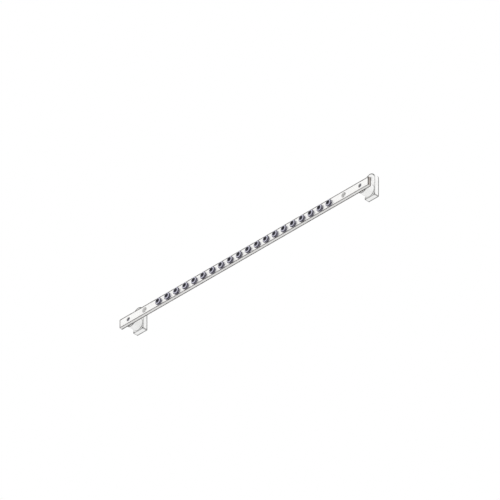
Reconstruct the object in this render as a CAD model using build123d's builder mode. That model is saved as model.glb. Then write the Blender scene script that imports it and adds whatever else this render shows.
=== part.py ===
"""Rack grounding busbar: a flat copper bar with a row of terminal screws on two moulded feet.

Millimetres. X runs along the bar, Z is up and the terminal screws face -Y. The origin lies midway
between the two rack holes, in the plane of the feet's backs, which rests on the rack's front rails.
"""

import os

from build123d import *

# The feet and where they bolt to the rack
rack_hole_spacing = 465.0
rack_hole_diameter = 9.0
foot_width = 20.0
foot_thickness = 8.5
foot_edge_chamfer = 0.25
mouth_chamfer = 0.4

# The boss that holds the bar off the rack
boss_inset = 0.3
boss_length = 15.0
boss_edge_chamfer = 0.3
bar_drop = 20.0

# The bar, which runs past the fixing holes at its ends
bar_overhang = 17.5
bar_height = 15.0
bar_thickness = 5.0
bar_edge_radius = 0.4

# Inwards from each fixing hole: a larger hole for the main earth conductor, then the row of terminals
feeder_inset = 32.5
feeder_core_diameter = 6.8
terminal_inset = 29.0
terminal_count = 20
thread_chamfer = 0.5

# The screws: one thread and one head for all of them
thread_diameter = 6.0
thread_core_diameter = 5.0
thread_clearance = 0.04
head_diameter = 11.2
head_height = 2.15
head_rim_height = 0.8
head_flat_diameter = 5.4
head_crown_radius = 7.0
terminal_screw_length = 8.0

# The terminal screws stand this far off the bar, open for a wire or a ring lug
terminal_gap = 1.2

# The cross recess in each head
recess_span = 4.9
recess_floor_span = 2.2
recess_width = 1.05
recess_depth = 1.9

# The fixing screws' way from the back of the feet into the bar, which their tips don't break through
fixing_hole_diameter = 6.6
pocket_clearance = 0.4
pocket_depth = 6.5
tip_inset = 2.0
tip_gap = 0.3

# Places worked out from the sizes above
foot_x = rack_hole_spacing / 2
boss_radius = foot_width / 2 - boss_inset
bar_back = foot_thickness + boss_length
bar_front = bar_back + bar_thickness
bar_z = -bar_drop
foot_bottom = bar_z - foot_width / 2
bar_length = rack_hole_spacing + 2 * bar_overhang
feeder_spacing = rack_hole_spacing - 2 * feeder_inset
terminal_row = feeder_spacing - 2 * terminal_inset
terminal_pitch = terminal_row / (terminal_count - 1)
screw_fit_radius = thread_diameter / 2 + thread_clearance
fixing_screw_length = bar_front - tip_inset - pocket_depth


def make_screw(length):
    """A pan head screw on the Y axis: its head seats at Y = 0 and faces -Y, its shank runs to +Y."""
    head_radius = head_diameter / 2
    shank_radius = thread_diameter / 2
    flat_radius = head_flat_diameter / 2

    with BuildPart() as screw:
        # Half of the section: the shank, the head's straight rim, its round crown and its flat top.
        with BuildSketch(Plane.XY):
            with BuildLine():
                Polyline(
                    (flat_radius, -head_height),
                    (0, -head_height),
                    (0, length),
                    (shank_radius, length),
                    (shank_radius, 0),
                    (head_radius, 0),
                    (head_radius, -head_rim_height),
                )
                RadiusArc((head_radius, -head_rim_height), (flat_radius, -head_height), head_crown_radius)
            make_face()
        revolve(axis=Axis.Y)

        # The cross recess: two crossed slots whose ends close in towards the floor.
        for turn in (0, 90):
            with BuildSketch(Plane.XY.rotated((0, turn, 0))):
                with BuildLine():
                    Polyline(
                        (-recess_span / 2, -head_height),
                        (recess_span / 2, -head_height),
                        (recess_floor_span / 2, recess_depth - head_height),
                        (-recess_floor_span / 2, recess_depth - head_height),
                        close=True,
                    )
                make_face()
            extrude(amount=recess_width / 2, both=True, mode=Mode.SUBTRACT)

    return screw.part


def make_foot():
    """One moulded foot at X = 0: an arch-shaped plate against the rack, with a boss for the bar."""
    half = foot_width / 2

    with BuildPart() as foot:
        # The plate: square at the bottom, round over the rack hole at the top.
        with BuildSketch(Plane.XZ):
            with BuildLine():
                Polyline((-half, 0), (-half, foot_bottom), (half, foot_bottom), (half, 0))
                ThreePointArc((half, 0), (0, half), (-half, 0))
            make_face()
        extrude(amount=foot_thickness)
        chamfer(foot.faces().sort_by(Axis.Y)[0].edges(), foot_edge_chamfer)

        # The boss, with its free edge eased.
        with BuildSketch(Plane.XZ.offset(foot_thickness)):
            with Locations((0, bar_z)):
                Circle(boss_radius)
        extrude(amount=boss_length)
        chamfer(foot.faces().sort_by(Axis.Y)[0].edges(), boss_edge_chamfer)

        # The rack hole, open at both faces, with an eased mouth in front.
        with BuildSketch(Plane.XZ):
            Circle(rack_hole_diameter / 2)
        extrude(amount=foot_thickness, mode=Mode.SUBTRACT)
        chamfer(foot.edges(Select.LAST).filter_by(GeomType.CIRCLE).sort_by(Axis.Y)[0], mouth_chamfer)

        # The fixing screw's hole, and the pocket that sinks its head below the back.
        with BuildSketch(Plane.XZ):
            with Locations((0, bar_z)):
                Circle(fixing_hole_diameter / 2)
        extrude(amount=bar_back, mode=Mode.SUBTRACT)
        with BuildSketch(Plane.XZ):
            with Locations((0, bar_z)):
                Circle(head_diameter / 2 + pocket_clearance)
        extrude(amount=pocket_depth, mode=Mode.SUBTRACT)

    return foot.part


def save(part, name):
    """Names a finished piece and writes it."""
    part.label = name
    export_step(part, f"parts/{name}.step")


os.makedirs("parts", exist_ok=True)

# The bar, drawn on its back face and grown towards the front
with BuildPart() as busbar:
    with BuildSketch(Plane.XZ.offset(bar_back)):
        with Locations((0, bar_z)):
            Rectangle(bar_length, bar_height)
    extrude(amount=bar_thickness)
    fillet(busbar.edges().filter_by(Axis.X), bar_edge_radius)

    # Terminal holes: a screw fills each thread, so the bore is at the thread's outside.
    with BuildSketch(Plane.XZ.offset(bar_back)):
        with Locations((0, bar_z)):
            with GridLocations(terminal_pitch, 0, terminal_count, 1):
                Circle(screw_fit_radius)
    extrude(amount=bar_thickness, mode=Mode.SUBTRACT)

    # Holes for the main earth conductor: open threads, bored at the core.
    with BuildSketch(Plane.XZ.offset(bar_back)):
        with Locations((0, bar_z)):
            with GridLocations(feeder_spacing, 0, 2, 1):
                Circle(feeder_core_diameter / 2)
    extrude(amount=bar_thickness, mode=Mode.SUBTRACT)

    # Fixing holes: filled by the screw from the back, open at the core in front of its tip.
    fixing_reach = bar_thickness - tip_inset + tip_gap
    with BuildSketch(Plane.XZ.offset(bar_back)):
        with Locations((0, bar_z)):
            with GridLocations(rack_hole_spacing, 0, 2, 1):
                Circle(thread_core_diameter / 2)
    extrude(amount=bar_thickness, mode=Mode.SUBTRACT)
    with BuildSketch(Plane.XZ.offset(bar_back)):
        with Locations((0, bar_z)):
            with GridLocations(rack_hole_spacing, 0, 2, 1):
                Circle(screw_fit_radius)
    extrude(amount=fixing_reach, mode=Mode.SUBTRACT)

    # The four open threads are eased at the mouth that faces the front.
    front_rims = busbar.faces().sort_by(Axis.Y)[0].edges().filter_by(GeomType.CIRCLE).sort_by(Axis.X)
    chamfer(front_rims[:2] + front_rims[-2:], thread_chamfer)
save(busbar.part, "busbar")

# The two feet
foot = make_foot()
save(foot.moved(Location((-foot_x, 0, 0))), "insulator_left")
save(foot.moved(Location((foot_x, 0, 0))), "insulator_right")

# The terminal screws, numbered from the left
terminal_screw = make_screw(terminal_screw_length)
terminal_seat = -bar_front - terminal_gap
for index in range(terminal_count):
    place = Location((terminal_pitch * index - terminal_row / 2, terminal_seat, bar_z))
    save(terminal_screw.moved(place), f"screw_{index + 1:02d}")

# The fixing screws, put in from the back through the feet
fixing_screw = make_screw(fixing_screw_length).rotate(Axis.Z, 180)
save(fixing_screw.moved(Location((-foot_x, -pocket_depth, bar_z))), "fixing_screw_left")
save(fixing_screw.moved(Location((foot_x, -pocket_depth, bar_z))), "fixing_screw_right")
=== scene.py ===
# The looks of the rack grounding busbar: a tinned copper bar on two moulded feet, with its screws.
# Every piece is built in metres, ring by ring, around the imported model.
import math

import bmesh
import bpy
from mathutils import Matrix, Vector
from mathutils.geometry import delaunay_2d_cdt


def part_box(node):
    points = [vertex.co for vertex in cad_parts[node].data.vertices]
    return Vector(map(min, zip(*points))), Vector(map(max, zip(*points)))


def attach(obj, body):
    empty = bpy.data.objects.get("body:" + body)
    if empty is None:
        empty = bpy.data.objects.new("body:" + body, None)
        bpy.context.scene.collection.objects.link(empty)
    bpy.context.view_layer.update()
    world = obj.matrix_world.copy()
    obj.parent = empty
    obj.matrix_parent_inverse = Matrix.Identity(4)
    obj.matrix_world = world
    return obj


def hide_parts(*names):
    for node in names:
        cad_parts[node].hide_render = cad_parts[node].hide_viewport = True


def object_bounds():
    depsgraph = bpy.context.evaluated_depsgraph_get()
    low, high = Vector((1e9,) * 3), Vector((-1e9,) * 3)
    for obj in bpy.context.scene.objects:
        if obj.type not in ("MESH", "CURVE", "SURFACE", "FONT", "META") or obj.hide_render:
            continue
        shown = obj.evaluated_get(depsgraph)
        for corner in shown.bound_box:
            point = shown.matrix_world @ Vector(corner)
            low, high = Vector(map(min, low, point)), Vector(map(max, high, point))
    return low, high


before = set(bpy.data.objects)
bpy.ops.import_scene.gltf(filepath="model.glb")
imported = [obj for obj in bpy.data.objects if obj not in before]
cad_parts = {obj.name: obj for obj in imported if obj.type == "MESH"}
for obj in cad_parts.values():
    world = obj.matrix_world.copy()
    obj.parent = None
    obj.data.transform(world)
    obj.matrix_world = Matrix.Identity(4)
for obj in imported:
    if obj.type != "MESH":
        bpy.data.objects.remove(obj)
cad_low, cad_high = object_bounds()

BODY = "root"
terminal_nodes = sorted(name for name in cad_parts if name.startswith("screw_"))
fixing_nodes = ("fixing_screw_left", "fixing_screw_right")

# Lengths are in metres.
MM = 0.001

# The camera: an isometric view from the front, the right and below
camera_azimuth = math.radians(45.0)
camera_elevation = -math.atan(math.sqrt(0.5))
camera_distance = 0.7
camera_clip = (0.01, 50.0)
picture_width = 0.710
picture_centre = Vector((12.07, -28.5, -21.99)) * MM

# The lamps, each with its place, its width and its power
key_lamp = ((-1.15, -1.45, 1.1), 3.2, 8.0)
fill_lamp = ((2.0, -0.2, 0.4), 1.5, 4.0)

# The floor lies far enough below for every camera to stay above it.
floor_height = -0.9
floor_size = 24.0

# How finely round things are divided
hole_columns = 64
screw_columns = 48
arch_steps = 16
corner_steps = 6
edge_steps = 4
recess_inner_steps = 3
recess_outer_steps = 2
thread_rows = 8

# Limits of the meshes
least_arch_radius = 5.0 * MM
least_corner_radius = 0.05 * MM
least_band_share = 0.01
closest_points = 0.001 * MM
closest_flat_spots = 1e-5
sharp_angle = math.radians(38.0)

# How far wear reaches; of two values, the first says where it is still full and the second where it ends
rim_wear = 0.6 * MM
top_wear = (1.1 * MM, 1.6 * MM)
front_side_wear = (0.2 * MM, 0.6 * MM)
back_side_wear = (1.2 * MM, 1.7 * MM)
corner_wear_reach = (2.0 * MM, 4.5 * MM)
arch_wear_rise = 4.0 * MM

# The bar
bar_corner_radius = 0.5 * MM
bar_edge_radius = 0.4 * MM
clean_edge_wear = 0.12
sawn_depth = 0.05 * MM
terminal_hole_radius = 3.04 * MM
terminal_mouth = 0.25 * MM
feeder_x = 200.0 * MM
feeder_core_radius = 3.4 * MM
feeder_thread_radius = 4.0 * MM
feeder_pitch = 1.25 * MM
# Painted shade inside the open threads of the feeder holes and the fixing holes
feeder_hole_shade = 0.12
fixing_hole_shade = 0.6
open_mouth = 0.5 * MM
back_mouth = 0.3 * MM
fixing_core_radius = 2.5 * MM
fixing_thread_depth = 1.7 * MM

# The feet
foot_corner_radius = 0.4 * MM
foot_front_edge = 0.25 * MM
foot_back_edge = 0.15 * MM
foot_plate = 8.5 * MM
corner_edge_wear = 0.85
boss_radius = 9.7 * MM
boss_edge = 0.3 * MM
rack_hole_radius = 4.5 * MM
rack_hole_mouth = 0.4 * MM
rack_hole_wear = 0.5
fixing_hole_radius = 3.3 * MM
pocket_radius = 6.0 * MM
pocket_depth = 6.5 * MM
# Painted shade on the floor of the pocket behind the fixing hole
pocket_shade = 0.6
small_mouth = 0.15 * MM
# Painted shade in the corner round the boss's root: how far it reaches, and how strong it is half-way
corner_shade_width = 2.0 * MM
corner_shade_half_way = 0.7

# The marks of the mould's ejector pins: X and Z from the rack hole's middle, and the radius
ejector_mark_depth = 0.12 * MM
ejector_marks = (
    (0.0, -9.6 * MM, 1.6 * MM),
    (-7.6 * MM, -27.6 * MM, 1.1 * MM),
    (7.6 * MM, -27.6 * MM, 1.1 * MM),
)

# The screws; a thread's root and flank are shares of half its pitch.
screw_pitch = 1.0 * MM
screw_thread_radius = 3.0 * MM
screw_core_radius = 2.42 * MM
thread_root_share = 0.2
thread_flank_share = 0.65
head_radius = 5.6 * MM
head_height = 2.15 * MM
head_rim = 0.8 * MM
head_rim_wear = 0.85
head_flat_radius = 2.7 * MM
head_crown_radius = 7.0 * MM
head_soft_edge = 0.1 * MM

# Wear and painted shade up the crown of each head, from its rim inwards, and painted shade on its flat
# round the recess
crown_wear = (1.0, 0.7, 0.0, 0.0, 0.0)
crown_shade = (0.0, 0.0, 0.0, 0.5, 1.0)
flat_shade = 1.0

# The cross recess in each head
recess_half_span = 2.45 * MM
recess_half_width = 0.525 * MM
recess_floor_half_span = 1.1 * MM
recess_floor_half_width = 0.46 * MM
recess_depth = 1.9 * MM
recess_soft_edge = 0.06 * MM
recess_inner_radius = 0.2 * MM
recess_outer_radius = 0.18 * MM
recess_waist_shares = (0.8, 0.98)
# Painted shade at the recess's rim; deeper down it is full
recess_rim_shade = 0.95

# The stretch of a noise's values that a mix or a range is spread over, from soft to hard
soft_spread = (0.3, 0.7)
cloud_spread = (0.32, 0.68)
even_spread = (0.35, 0.65)
line_spread = (0.35, 0.75)
hard_spread = (0.4, 0.6)

# How deep the surfaces' fine relief is
tin_grain_depth = 0.01 * MM
tin_line_depth = 0.03 * MM
zinc_grain_depth = 0.01 * MM
plastic_grain_depth = 0.04 * MM

# Colours
background_white = (1.0, 1.0, 1.0, 1.0)
tin_dark = (0.83, 0.825, 0.815)
tin_light = (0.89, 0.885, 0.875)
tin_lines = (0.76, 0.755, 0.745)
sawn_dark = (0.46, 0.42, 0.395)
sawn_light = (0.58, 0.54, 0.51)
rubbed_copper = (0.065, 0.054, 0.048)
# Painted shade inside the bar's holes
copper_painted_shade = (0.06, 0.057, 0.055)
zinc_dark = (0.68, 0.67, 0.78)
zinc_light = (0.78, 0.77, 0.89)
rubbed_steel = (0.03, 0.029, 0.04)
# Painted shade in the screws' recesses and over their flat tops
steel_painted_shade = (0.013, 0.0125, 0.018)
plastic_dark = (0.89, 0.89, 0.88)
plastic_light = (0.93, 0.93, 0.925)
plastic_grain = (0.48, 0.48, 0.47)
# Dark worn edges, and painted shade in the feet's corners and pockets
plastic_wear_and_painted_shade = (0.07, 0.07, 0.068)
floor_dark = (0.86, 0.86, 0.86)
floor_light = (0.88, 0.88, 0.88)


# Shapes

class Shell:
    """One piece's surface. It grows ring by ring; a ring lies at one Y and its outline is (x, z) pairs."""

    def __init__(self):
        self.points = []
        self.faces = []
        self.wear = []
        self.grime = []

    def ring(self, outline, y, wear=0.0, grime=0.0):
        """Adds one ring of points and returns their numbers. Wear may be a function of (x, z)."""
        start = len(self.points)
        self.points += [(x, y, z) for x, z in outline]
        self.wear += [wear(x, z) if callable(wear) else wear for x, z in outline]
        # The second mark is painted shade: darkening put on recesses, hole walls and corners.
        self.grime += [grime] * len(outline)
        return list(range(start, len(self.points)))

    def bridge(self, rings):
        """Joins each ring to the next one with a band of faces."""
        for near, far in zip(rings, rings[1:]):
            for i in range(len(near)):
                j = (i + 1) % len(near)
                self.faces.append((near[i], near[j], far[j], far[i]))

    def fill(self, outer, holes=()):
        """Closes the flat region inside the outer ring and outside the holes. It works in millimetres."""
        numbers, edges, outlines = [], [], []
        for ring in (outer, *holes):
            start = len(numbers)
            numbers += ring
            edges += [(start + i, start + (i + 1) % len(ring)) for i in range(len(ring))]
            outlines += [ring] * len(ring)
        flat = [Vector((self.points[n][0], self.points[n][2])) / MM for n in numbers]
        spots = dict(zip(numbers, flat))
        inside_triangles = 1
        triangles, origins = delaunay_2d_cdt(flat, edges, [], inside_triangles, closest_flat_spots)[2:4]
        for triangle in triangles:
            corners = [origins[corner][0] for corner in triangle]
            # A triangle between points of a single ring may lie in a hole, or outside the outer ring.
            ring = outlines[corners[0]]
            if all(outlines[corner] is ring for corner in corners):
                middle = sum((flat[corner] for corner in corners), Vector((0.0, 0.0))) / 3
                if is_inside(middle, [spots[n] for n in ring]) != (ring is outer):
                    continue
            self.faces.append(tuple(numbers[corner] for corner in corners))

    def piece(self, name, material, place=lambda point: point):
        """Makes the object. place moves each point to where the piece belongs."""
        mesh = bpy.data.meshes.new(name)
        mesh.from_pydata([place(point) for point in self.points], [], self.faces)
        for attribute, values in (("wear", self.wear), ("grime", self.grime)):
            layer = mesh.attributes.new(attribute, "FLOAT", "POINT")
            layer.data.foreach_set("value", values)
        work = bmesh.new()
        work.from_mesh(mesh)
        bmesh.ops.recalc_face_normals(work, faces=work.faces)
        work.to_mesh(mesh)
        work.free()
        mesh.shade_smooth()
        mesh.set_sharp_from_angle(angle=sharp_angle)
        mesh.materials.append(material)
        piece = bpy.data.objects.new(name, mesh)
        bpy.context.scene.collection.objects.link(piece)
        normals = piece.modifiers.new("flat faces stay flat", "WEIGHTED_NORMAL")
        normals.keep_sharp = True
        return piece


def is_inside(spot, outline):
    """Whether a flat point lies in a closed outline: a line from it then crosses an odd number of sides."""
    crossings = 0
    for a, b in zip(outline, outline[1:] + outline[:1]):
        if (a.y > spot.y) != (b.y > spot.y):
            crossings += spot.x < a.x + (b.x - a.x) * (spot.y - a.y) / (b.y - a.y)
    return crossings % 2 == 1


def circle(centre, radius, columns):
    """An outline of evenly spaced points round a centre; radius may be a function of the angle."""
    outline = []
    for i in range(columns):
        angle = 2 * math.pi * i / columns
        reach = radius(angle) if callable(radius) else radius
        outline.append((centre[0] + reach * math.cos(angle), centre[1] + reach * math.sin(angle)))
    return outline


def rounded_rectangle(low, high, bottom_radius, top_radius, inset=0.0):
    """An outline between two (x, z) corners, with its own corner radius at the bottom and at the top."""
    corners = (
        (high[0], low[1], -1, 1, bottom_radius, -90),
        (high[0], high[1], -1, -1, top_radius, 0),
        (low[0], high[1], 1, -1, top_radius, 90),
        (low[0], low[1], 1, 1, bottom_radius, 180),
    )
    outline = []
    for x, z, inward_x, inward_z, radius, first in corners:
        steps = corner_steps if radius < least_arch_radius else arch_steps
        for step in range(steps + 1):
            angle = math.radians(first + 90 * step / steps)
            reach = max(radius - inset, least_corner_radius)
            spot = (
                x + inward_x * (inset + reach) + reach * math.cos(angle),
                z + inward_z * (inset + reach) + reach * math.sin(angle),
            )
            if not outline or math.dist(outline[-1], spot) > closest_points:
                outline.append(spot)
    return outline


def rounded_edge(radius):
    """Steps over a rounded edge: how far each lies from the flat ahead of it, and from the one behind."""
    for step in range(edge_steps + 1):
        angle = math.pi / 2 * step / edge_steps
        yield radius * (1 - math.sin(angle)), radius * (1 - math.cos(angle))


def edge_rings(shell, outline, y, inward, radius, face=None, side=None, wear=1.0, top=0.0, wall=0.0):
    """Rings from a flat face over its rounded, worn edge to the side wall. outline(inset) gives the shape.

    face and side say how far the full wear reaches over the face and down the side, and where it has
    faded out. wear may be a function of (x, z), and where it is less than full it stays on the edge.
    top is the wear where the edge meets a face that has no band of its own, and wall the wear beyond.
    """
    def band(x, z):
        return float(not callable(wear) or wear(x, z) == 1.0)

    rings = []
    if face:
        full, faded = face
        rings = [shell.ring(outline(radius + faded), y), shell.ring(outline(radius + full), y, band)]
    for inset, depth in rounded_edge(radius):
        meets_bare_face = depth == 0.0 and not face
        rings.append(shell.ring(outline(inset), y + inward * depth, top if meets_bare_face else wear))
    if side:
        full, faded = side
        rings.append(shell.ring(outline(0.0), y + inward * (radius + full), band))
        rings.append(shell.ring(outline(0.0), y + inward * (radius + faded), wall))
    return rings


def tube(shell, centre, rows, columns):
    """A round surface through rows of (y, radius), with wear and painted shade where a row has them."""
    rings = [shell.ring(circle(centre, radius, columns), y, *marks) for y, radius, *marks in rows]
    shell.bridge(rings)
    return rings


def thread_radius(y, angle, core, outside, pitch):
    """The radius of a right-hand thread: a flat root and crest joined by sloping flanks."""
    turn = (y / pitch + angle / (2 * math.pi)) % 1.0
    from_root = 1.0 - abs(2.0 * turn - 1.0)
    share = min(1.0, max(0.0, (from_root - thread_root_share) / thread_flank_share))
    return core + (outside - core) * share


def middle_x(node):
    """The X of a node's middle."""
    low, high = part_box(node)
    return (low.x + high.x) / 2


def dress(piece, node):
    """Ties a piece to the body, and hides the node that it stands for."""
    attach(piece, BODY)
    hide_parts(node)


# The bar

def internal_thread_rows(front, depth, core, outside, pitch, grime):
    """Rows for an open thread behind its chamfered mouth. The thread and its painted shade fade in there.
    """
    count = math.ceil(depth / pitch * thread_rows)
    rows = []
    for i in range(1, count + 1):
        inward = depth * i / count
        y = front + inward

        def radius(angle, y=y, inward=inward):
            reach = thread_radius(y, angle, core, outside, pitch)
            return max(core + open_mouth - inward, core + (reach - core) * min(1.0, inward / open_mouth))

        # The thread's walls get painted shade, growing in from the mouth.
        rows.append((y, radius, 0.0, grime * min(1.0, inward / (2 * open_mouth))))
    return rows


def hole_rows(front, front_radius, back, back_radius, inner_rows):
    """Rows through the whole bar, with a worn rim round the hole on each face."""
    return [
        (front, front_radius + rim_wear),
        (front, front_radius, 1.0),
        *inner_rows,
        (back, back_radius, 1.0),
        (back, back_radius + rim_wear),
    ]


def terminal_hole_rows(front, back):
    """A terminal screw's hole, which its thread fills."""
    mouth_radius = terminal_hole_radius + terminal_mouth
    return hole_rows(front, mouth_radius, back, mouth_radius, [
        (front + terminal_mouth, terminal_hole_radius),
        (back - terminal_mouth, terminal_hole_radius),
    ])


def feeder_hole_rows(front, back):
    """The open threaded hole for the main earth conductor."""
    depth = back - front - back_mouth
    thread = internal_thread_rows(
        front, depth, feeder_core_radius, feeder_thread_radius, feeder_pitch, feeder_hole_shade
    )
    back_radius = feeder_thread_radius + back_mouth / 2
    return hole_rows(front, feeder_core_radius + open_mouth, back, back_radius, thread)


def fixing_hole_rows(front, back):
    """A fixing screw's hole: an open thread in front of the screw's tip, and the thread that it fills."""
    thread = internal_thread_rows(
        front, fixing_thread_depth, fixing_core_radius, screw_thread_radius, screw_pitch, fixing_hole_shade
    )
    return hole_rows(front, fixing_core_radius + open_mouth, back, terminal_hole_radius + terminal_mouth, [
        *thread,
        # The painted shade ends where the screw's tip fills the thread.
        (front + fixing_thread_depth, terminal_hole_radius, 0.0, fixing_hole_shade),
        (back - terminal_mouth, terminal_hole_radius),
    ])


def make_bar(material):
    """The flat bar, with its edges rounded, its screws' holes and the four open threads."""
    low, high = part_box("busbar")
    centre_z = (low.z + high.z) / 2
    front, back = low.y, high.y
    radius = bar_corner_radius
    shell = Shell()

    def outline(inset):
        return rounded_rectangle((low.x, low.z), (high.x, high.z), radius, radius, inset)

    def front_wear(x, z):
        """The front's lower edge is nearly clean."""
        return clean_edge_wear if z < low.z + radius / 2 else 1.0

    front_rings = edge_rings(
        shell, outline, front, 1, bar_edge_radius, face=top_wear, side=front_side_wear, wear=front_wear
    )
    back_rings = edge_rings(
        shell, outline, back, -1, bar_edge_radius, face=top_wear, side=back_side_wear
    )
    shell.bridge(front_rings + back_rings[::-1])

    holes = [(middle_x(node), terminal_hole_rows(front, back)) for node in terminal_nodes]
    holes += [(x, feeder_hole_rows(front, back)) for x in (-feeder_x, feeder_x)]
    holes += [(middle_x(node), fixing_hole_rows(front, back)) for node in fixing_nodes]
    hole_rings = [tube(shell, (x, centre_z), rows, hole_columns) for x, rows in holes]
    shell.fill(front_rings[0], [rings[0] for rings in hole_rings])
    shell.fill(back_rings[0], [rings[-1] for rings in hole_rings])
    return shell.piece("bar", material)


# The feet

class Foot:
    """A moulded foot: an arch-shaped plate against the rack, and a boss that carries the bar."""

    def __init__(self, node):
        self.low, self.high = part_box(node)
        self.x = middle_x(node)
        self.half = (self.high.x - self.low.x) / 2
        self.rack_hole_z = self.high.z - self.half
        self.boss_z = self.low.z + self.half
        self.back, self.tip = self.high.y, self.low.y
        self.plate_front = self.back - foot_plate

    def outline(self, inset):
        """The plate's outline, with points beside its bottom corners where their wear ends."""
        low, high = self.low, self.high
        spots = rounded_rectangle((low.x, low.z), (high.x, high.z), foot_corner_radius, self.half, inset)
        near, far = corner_wear_reach
        corner = corner_steps + 1
        left, right, bottom = low.x + inset, high.x - inset, low.z + inset
        return [
            (high.x - far, bottom),
            (high.x - near, bottom),
            *spots[:corner],
            (right, low.z + near),
            (right, low.z + far),
            *spots[corner:-corner],
            (left, low.z + far),
            (left, low.z + near),
            *spots[-corner:],
            (low.x + near, bottom),
            (low.x + far, bottom),
        ]

    def from_corner(self, x, z):
        """How far a spot lies from the nearer bottom corner, across or up, whichever is more."""
        return max(self.half - abs(x - self.x), z - self.low.z)

    def face_wear(self, x, z):
        """Wear on the front of the plate: full round the top of the arch and in the bottom corners."""
        near, far = corner_wear_reach
        arch = (z - self.rack_hole_z) / arch_wear_rise
        corner = (far - self.from_corner(x, z)) / (far - near)
        return min(1.0, max(0.0, arch, corner))

    def wall_wear(self, x, z):
        """Wear along the corner edges that run from the front of the plate to its back."""
        return corner_edge_wear if self.from_corner(x, z) < corner_wear_reach[0] / 2 else 0.0

    def worn_outline(self, reach):
        """The plate's front outline, drawn in by reach where it is worn and hardly elsewhere."""
        spots = []
        for outer, inner in zip(self.outline(foot_front_edge), self.outline(foot_front_edge + reach)):
            share = max(least_band_share, self.face_wear(*outer))
            spots.append((
                outer[0] + (inner[0] - outer[0]) * share,
                outer[1] + (inner[1] - outer[1]) * share,
            ))
        return spots

    def plate_rings(self, shell):
        """Adds the plate's wall and edges, and returns the rings at its front and at its back."""
        full, faded = top_wear
        front_rings = [
            shell.ring(self.worn_outline(faded), self.plate_front),
            shell.ring(self.worn_outline(full), self.plate_front, self.face_wear),
            *edge_rings(
                shell, self.outline, self.plate_front, 1, foot_front_edge,
                side=front_side_wear, top=self.face_wear, wall=self.wall_wear,
            ),
        ]
        back_rings = edge_rings(
            shell, self.outline, self.back, -1, foot_back_edge, side=back_side_wear, wall=self.wall_wear
        )
        shell.bridge(front_rings + back_rings[::-1])
        return front_rings, back_rings

    def rack_hole_rows(self):
        """The rack screw's hole, with a slightly worn mouth in front."""
        mouth_end = self.plate_front + rack_hole_mouth
        return [
            (self.plate_front, rack_hole_radius + rack_hole_mouth),
            (mouth_end, rack_hole_radius, rack_hole_wear),
            (mouth_end + rim_wear, rack_hole_radius),
            (self.back - small_mouth, rack_hole_radius),
            (self.back, rack_hole_radius + small_mouth),
        ]

    def boss_rows(self):
        """The boss, with painted shade in the corner at its root and its free edge rounded."""
        root = self.plate_front
        rows = [
            (root, boss_radius),
            # Painted shade in the corner, fading away from the root.
            (root - corner_shade_width / 4, boss_radius, 0.0, 1.0),
            (root - corner_shade_width / 2, boss_radius, 0.0, corner_shade_half_way),
            (root - corner_shade_width, boss_radius),
            (self.tip + boss_edge + rim_wear, boss_radius),
        ]
        rows += [(self.tip + rise, boss_radius - inset, 1.0) for rise, inset in rounded_edge(boss_edge)]
        rows.append((self.tip, boss_radius - boss_edge - rim_wear))
        return rows

    def bore_rows(self):
        """The fixing screw's hole and, behind it, the pocket for the screw's head."""
        pocket_floor = self.back - pocket_depth
        return [
            (self.tip, fixing_hole_radius + small_mouth),
            (self.tip + small_mouth, fixing_hole_radius),
            # The pocket's floor has painted shade.
            (pocket_floor, fixing_hole_radius, 0.0, pocket_shade),
            (pocket_floor, pocket_radius, 0.0, pocket_shade),
            (self.back - small_mouth, pocket_radius),
            (self.back, pocket_radius + small_mouth),
        ]

    def mark_rings(self, shell):
        """Adds the sunk ejector marks, and returns their rings on the back."""
        mouths = []
        for mark_x, mark_z, radius in ejector_marks:
            rows = [(self.back, radius), (self.back - ejector_mark_depth, radius)]
            mouth, bottom = tube(shell, (self.x + mark_x, self.rack_hole_z + mark_z), rows, screw_columns)
            shell.fill(bottom)
            mouths.append(mouth)
        return mouths

    def make(self, name, material):
        """Joins the parts of the foot to one closed piece."""
        shell = Shell()
        front_rings, back_rings = self.plate_rings(shell)
        rack_hole = tube(shell, (self.x, self.rack_hole_z), self.rack_hole_rows(), hole_columns)
        boss = tube(shell, (self.x, self.boss_z), self.boss_rows(), hole_columns)
        bore = tube(shell, (self.x, self.boss_z), self.bore_rows(), hole_columns)
        marks = self.mark_rings(shell)
        shell.fill(front_rings[0], [rack_hole[0], boss[0]])
        shell.fill(boss[-1], [bore[0]])
        shell.fill(back_rings[0], [rack_hole[-1], bore[-1], *marks])
        return shell.piece(name, material)


# The screws

def crown_rows():
    """Rows up the round crown, from its worn rim to the flat top."""
    rim, flat = (head_radius, head_rim), (head_flat_radius, head_height)
    half_chord = math.dist(rim, flat) / 2
    drop = math.sqrt(head_crown_radius ** 2 - half_chord ** 2)
    along = ((flat[0] - rim[0]) / (2 * half_chord), (flat[1] - rim[1]) / (2 * half_chord))
    centre_r = (rim[0] + flat[0]) / 2 - along[1] * drop
    centre_h = (rim[1] + flat[1]) / 2 + along[0] * drop
    first = math.atan2(rim[1] - centre_h, rim[0] - centre_r)
    last = math.atan2(flat[1] - centre_h, flat[0] - centre_r)
    rows = []
    for step, (wear, grime) in enumerate(zip(crown_wear, crown_shade), start=1):
        angle = first + (last - first) * step / (len(crown_wear) + 1)
        height = centre_h + head_crown_radius * math.sin(angle)
        rows.append((-height, centre_r + head_crown_radius * math.cos(angle), wear, grime))
    return rows


def head_rows():
    """Rows over the head, from the edge that it seats on to the edge of its flat."""
    soft = head_soft_edge
    return [
        (0.0, head_radius - soft),
        (-soft, head_radius, 1.0),
        (-head_rim / 2, head_radius, head_rim_wear),
        (-head_rim + soft, head_radius, 1.0),
        (-head_rim - soft / 3, head_radius - soft / 2, 1.0),
        *crown_rows(),
        # The flat top is in painted shade, round the recess.
        (-head_height + soft / 3, head_flat_radius + soft / 2, 0.0, flat_shade),
        (-head_height, head_flat_radius - soft / 2, 0.0, flat_shade),
    ]


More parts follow.
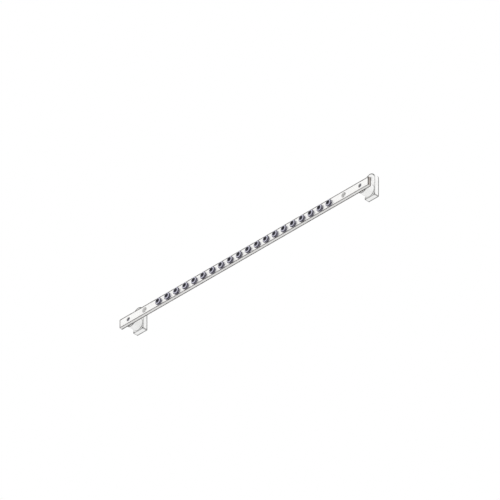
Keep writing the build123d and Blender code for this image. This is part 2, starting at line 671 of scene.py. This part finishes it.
def cross_outline(half_span, half_width):
    """The outline of the cross recess: rounded where its arms meet and at their ends."""
    inner, outer = recess_inner_radius, recess_outer_radius
    arm = []
    for step in range(recess_inner_steps + 1):
        angle = math.radians(180 - 90 * step / recess_inner_steps)
        arm.append((
            half_width + inner + inner * math.cos(angle),
            -half_width - inner + inner * math.sin(angle),
        ))
    for first, z in ((-90, -half_width + outer), (0, half_width - outer)):
        for step in range(recess_outer_steps + 1):
            angle = math.radians(first + 90 * step / recess_outer_steps)
            arm.append((half_span - outer + outer * math.cos(angle), z + outer * math.sin(angle)))
    outline = []
    for cosine, sine in ((1, 0), (0, 1), (-1, 0), (0, -1)):
        outline += [(x * cosine - z * sine, x * sine + z * cosine) for x, z in arm]
    return outline


def recess_rings(shell):
    """Adds the recess from its softened rim down to its floor, and returns its rings."""
    soft = recess_soft_edge
    span_share, width_share = recess_waist_shares
    # Each level: depth, half span, half width and painted shade, which is darkest down in the recess
    levels = (
        (0.0, recess_half_span + soft, recess_half_width + soft, recess_rim_shade),
        (soft, recess_half_span, recess_half_width, recess_rim_shade),
        (recess_depth / 3, recess_half_span * span_share, recess_half_width * width_share, 1.0),
        (recess_depth, recess_floor_half_span, recess_floor_half_width, 1.0),
    )
    rings = []
    for depth, half_span, half_width, grime in levels:
        rings.append(shell.ring(cross_outline(half_span, half_width), -head_height + depth, 0.0, grime))
    shell.bridge(rings)
    shell.fill(rings[-1])
    return rings


def shank_rows(length):
    """Rows along the shank, whose thread fades in below the head and out over the chamfered tip."""
    count = round(length / screw_pitch * thread_rows)
    rows = []
    for i in range(count + 1):
        y = length * i / count

        def radius(angle, y=y):
            reach = thread_radius(y, angle, screw_core_radius, screw_thread_radius, screw_pitch)
            faded = screw_thread_radius + (reach - screw_thread_radius) * min(1.0, y / screw_pitch)
            return min(screw_core_radius + length - y, faded)

        rows.append((y, radius))
    return rows


def screw_shell(length):
    """A pan head screw on the Y axis, seated at Y = 0, with its head towards -Y."""
    shell = Shell()
    head = tube(shell, (0.0, 0.0), head_rows(), screw_columns)
    recess = recess_rings(shell)
    shell.fill(head[-1], [recess[0]])
    shank = tube(shell, (0.0, 0.0), shank_rows(length), screw_columns)
    shell.fill(head[0], [shank[0]])
    shell.fill(shank[-1])
    return shell


def make_screws(nodes, name_form, facing, material):
    """Screws of one length. facing is 1 where their heads point to -Y, and -1 where they point to +Y."""
    low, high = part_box(nodes[0])
    shell = screw_shell(high.y - low.y - head_height)
    for node in nodes:
        low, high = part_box(node)
        x, z = middle_x(node), (low.z + high.z) / 2
        seat = low.y + head_height if facing == 1 else high.y - head_height

        def place(point, x=x, seat=seat, z=z):
            return x + facing * point[0], seat + facing * point[1], z + point[2]

        dress(shell.piece(name_form.format(node), material, place), node)


# Materials

class Nodes:
    """A small helper that adds nodes to a material and links their sockets."""

    # The places of the colour sockets on a mix node
    first_colour, second_colour, mixed_colour = 6, 7, 2

    def __init__(self, name):
        self.material = bpy.data.materials.new(name)
        self.material.use_nodes = True
        self.tree = self.material.node_tree
        self.shader = self.tree.nodes["Principled BSDF"]
        self.place = self.add("ShaderNodeTexCoord").outputs["Object"]

    def add(self, kind, **settings):
        """A new node with these settings."""
        node = self.tree.nodes.new(kind)
        for key, value in settings.items():
            setattr(node, key, value)
        return node

    def link(self, source, target):
        """Links an output to an input."""
        self.tree.links.new(source, target)

    def noise(self, scale, detail=3.0, stretch=(1.0, 1.0, 1.0), roughness=0.5):
        """Noise in object space; scale is features per metre, and stretch squeezes the space per axis."""
        mapping = self.add("ShaderNodeMapping")
        mapping.inputs["Scale"].default_value = stretch
        self.link(self.place, mapping.inputs["Vector"])
        noise = self.add("ShaderNodeTexNoise")
        noise.inputs["Scale"].default_value = scale
        noise.inputs["Detail"].default_value = detail
        noise.inputs["Roughness"].default_value = roughness
        self.link(mapping.outputs["Vector"], noise.inputs["Vector"])
        return noise.outputs["Fac"]

    def along(self, axis):
        """The object-space place along X, Y or Z, in metres."""
        separate = self.add("ShaderNodeSeparateXYZ")
        self.link(self.place, separate.inputs["Vector"])
        return separate.outputs[axis]

    def attribute(self, name):
        """The mesh's wear or painted shade."""
        return self.add("ShaderNodeAttribute", attribute_name=name).outputs["Fac"]

    def ranged(self, value, source, target=(0.0, 1.0)):
        """Maps a value from the source range to the target range, and clamps it."""
        node = self.add("ShaderNodeMapRange")
        for socket, number in zip(("From Min", "From Max", "To Min", "To Max"), (*source, *target)):
            node.inputs[socket].default_value = number
        self.link(value, node.inputs["Value"])
        return node.outputs["Result"]

    def math(self, operation, *values):
        """The result of an operation on one or two values, each a number or a socket."""
        node = self.add("ShaderNodeMath", operation=operation)
        for socket, value in zip(node.inputs, values):
            if isinstance(value, float):
                socket.default_value = value
            else:
                self.link(value, socket)
        return node.outputs["Value"]

    def mix(self, factor, first, second):
        """Mixes two colours, each a tuple or a socket."""
        node = self.add("ShaderNodeMix", data_type="RGBA")
        self.link(factor, node.inputs["Factor"])
        for index, colour in ((self.first_colour, first), (self.second_colour, second)):
            if isinstance(colour, tuple):
                node.inputs[index].default_value = (*colour, 1.0)
            else:
                self.link(colour, node.inputs[index])
        return node.outputs[self.mixed_colour]

    def stain(self, tone, mark, colour, strength):
        """Mixes a colour in where the mesh has wear or painted shade. strength is a number or a socket."""
        return self.mix(self.math("MULTIPLY", self.attribute(mark), strength), tone, colour)

    def bump(self, height, distance, strength, after=None):
        """A bumped normal, on top of another one where there is one."""
        node = self.add("ShaderNodeBump")
        node.inputs["Distance"].default_value = distance
        node.inputs["Strength"].default_value = strength
        self.link(height, node.inputs["Height"])
        if after is not None:
            self.link(after, node.inputs["Normal"])
        return node.outputs["Normal"]

    def finish(self, colour, roughness, normal):
        """Links what was worked out to the shader."""
        self.link(colour, self.shader.inputs["Base Color"])
        self.link(roughness, self.shader.inputs["Roughness"])
        self.link(normal, self.shader.inputs["Normal"])
        return self.material


def tinned_copper(half_length):
    """Dull silvery tin over copper: drawn lines along the bar, sawn ends and rubbed edges."""
    n = Nodes("tinned_copper")
    lines = n.noise(700.0, detail=4.0, stretch=(0.04, 1.0, 1.0), roughness=0.6)
    clouds = n.noise(45.0, detail=4.0, stretch=(0.6, 1.0, 1.0), roughness=0.55)
    spots = n.noise(420.0, detail=2.0)
    saw = n.noise(900.0, stretch=(1.0, 1.0, 0.05), roughness=0.6)
    tone = n.mix(n.ranged(clouds, cloud_spread), tin_dark, tin_light)
    tone = n.mix(n.ranged(lines, line_spread, (0.0, 0.35)), tone, tin_lines)
    is_end = n.math("GREATER_THAN", n.math("ABSOLUTE", n.along("X")), half_length - sawn_depth)
    tone = n.mix(is_end, tone, n.mix(n.ranged(saw, even_spread), sawn_dark, sawn_light))
    tone = n.stain(tone, "wear", rubbed_copper, strength=n.ranged(spots, hard_spread, (0.75, 1.0)))
    # Painted shade inside the bar's holes.
    tone = n.stain(tone, "grime", copper_painted_shade, strength=0.85)
    rough_lines = n.ranged(lines, soft_spread, (0.44, 0.54))
    rough_clouds = n.ranged(clouds, soft_spread, (-0.04, 0.05))
    grain = n.bump(n.noise(5000.0, detail=2.0), tin_grain_depth, strength=0.25)
    drawn = n.bump(lines, tin_line_depth, strength=0.35, after=grain)
    n.shader.inputs["Metallic"].default_value = 1.0
    return n.finish(tone, n.math("ADD", rough_lines, rough_clouds), drawn)


def zinc_steel():
    """Zinc plate dulled to grey, worn down to dark steel on its edges, with painted shade in the recess and
    over the flat top.
    """
    n = Nodes("zinc_steel")
    clouds = n.noise(500.0)
    fine = n.noise(4000.0, detail=2.0)
    tone = n.mix(n.ranged(clouds, even_spread), zinc_dark, zinc_light)
    tone = n.stain(tone, "wear", rubbed_steel, strength=0.95)
    # Painted shade in the recess and over the flat top, which is also made rougher there.
    tone = n.stain(tone, "grime", steel_painted_shade, strength=0.95)
    rough_in_painted_shade = n.math("MULTIPLY", n.attribute("grime"), 0.25)
    rough = n.math("ADD", n.ranged(fine, soft_spread, (0.30, 0.40)), rough_in_painted_shade)
    n.shader.inputs["Metallic"].default_value = 1.0
    return n.finish(tone, rough, n.bump(fine, zinc_grain_depth, strength=0.3))


def insulator_plastic():
    """Pale grey moulded polyamide: a fine eroded texture, with handling marks, and painted shade in the
    corner round the boss and in the pocket.
    """
    n = Nodes("insulator_plastic")
    clouds = n.noise(90.0)
    grain = n.noise(3200.0, roughness=0.6)
    spots = n.noise(600.0, detail=2.0)
    tone = n.mix(n.ranged(clouds, even_spread), plastic_dark, plastic_light)
    tone = n.mix(n.ranged(grain, soft_spread, (0.08, 0.0)), tone, plastic_grain)
    tone = n.stain(tone, "wear", plastic_wear_and_painted_shade, strength=n.ranged(spots, hard_spread, (0.8, 0.98)))
    # Painted shade in the corner round the boss and in the pocket.
    tone = n.stain(tone, "grime", plastic_wear_and_painted_shade, strength=0.9)
    rough = n.ranged(grain, soft_spread, (0.42, 0.58))
    n.shader.inputs["IOR"].default_value = 1.53
    return n.finish(tone, rough, n.bump(grain, plastic_grain_depth, strength=0.5))


# The studio

def make_world():
    """White behind the object, and a soft even light all round it."""
    world = bpy.data.worlds.new("studio")
    world.use_nodes = True
    background = world.node_tree.nodes["Background"]
    background.inputs["Color"].default_value = background_white
    background.inputs["Strength"].default_value = 1.0
    bpy.context.scene.world = world


def make_floor():
    """A plain pale floor, far below, that shiny things mirror as white."""
    mesh = bpy.data.meshes.new("floor")
    half = floor_size / 2
    corners = ((-half, -half), (half, -half), (half, half), (-half, half))
    mesh.from_pydata([(x, y, floor_height) for x, y in corners], [], [(0, 1, 2, 3)])
    floor = bpy.data.objects.new("floor", mesh)
    bpy.context.scene.collection.objects.link(floor)
    n = Nodes("floor")
    tone = n.mix(n.ranged(n.noise(3.0, detail=2.0), soft_spread), floor_dark, floor_light)
    n.link(tone, n.shader.inputs["Base Color"])
    n.shader.inputs["Roughness"].default_value = 0.9
    mirrored = n.add("ShaderNodeMixShader")
    n.link(n.add("ShaderNodeLightPath").outputs["Is Glossy Ray"], mirrored.inputs["Fac"])
    n.link(n.shader.outputs["BSDF"], mirrored.inputs[1])
    n.link(n.add("ShaderNodeEmission").outputs["Emission"], mirrored.inputs[2])
    n.link(mirrored.outputs["Shader"], n.tree.nodes["Material Output"].inputs["Surface"])
    mesh.materials.append(n.material)


def make_lamp(name, spot, width, power):
    """A soft square lamp that looks at the object."""
    data = bpy.data.lights.new(name, "AREA")
    data.size = width
    data.energy = power
    lamp = bpy.data.objects.new(name, data)
    lamp.location = spot
    lamp.rotation_euler = (picture_centre - Vector(spot)).to_track_quat("-Z", "Y").to_euler()
    bpy.context.scene.collection.objects.link(lamp)


def make_camera():
    """The drawing's isometric view."""
    data = bpy.data.cameras.new("camera")
    data.type = "ORTHO"
    data.ortho_scale = picture_width
    data.clip_start, data.clip_end = camera_clip
    camera = bpy.data.objects.new("camera", data)
    level = math.cos(camera_elevation)
    towards_camera = Vector((
        math.sin(camera_azimuth) * level,
        -math.cos(camera_azimuth) * level,
        math.sin(camera_elevation),
    ))
    camera.location = picture_centre + towards_camera * camera_distance
    camera.rotation_mode = "QUATERNION"
    camera.rotation_quaternion = (-towards_camera).to_track_quat("-Z", "Y")
    bpy.context.scene.collection.objects.link(camera)
    bpy.context.scene.camera = camera


copper, zinc, plastic = tinned_copper(cad_high.x), zinc_steel(), insulator_plastic()
dress(make_bar(copper), "busbar")
for side in ("left", "right"):
    foot_node = f"insulator_{side}"
    dress(Foot(foot_node).make(f"foot_{side}", plastic), foot_node)
make_screws(terminal_nodes, "terminal_{}", facing=1, material=zinc)
make_screws(fixing_nodes, "{}_detailed", facing=-1, material=zinc)

make_world()
make_floor()
make_lamp("key", *key_lamp)
make_lamp("fill", *fill_lamp)
make_camera()
bpy.context.scene.view_settings.view_transform = "Standard"
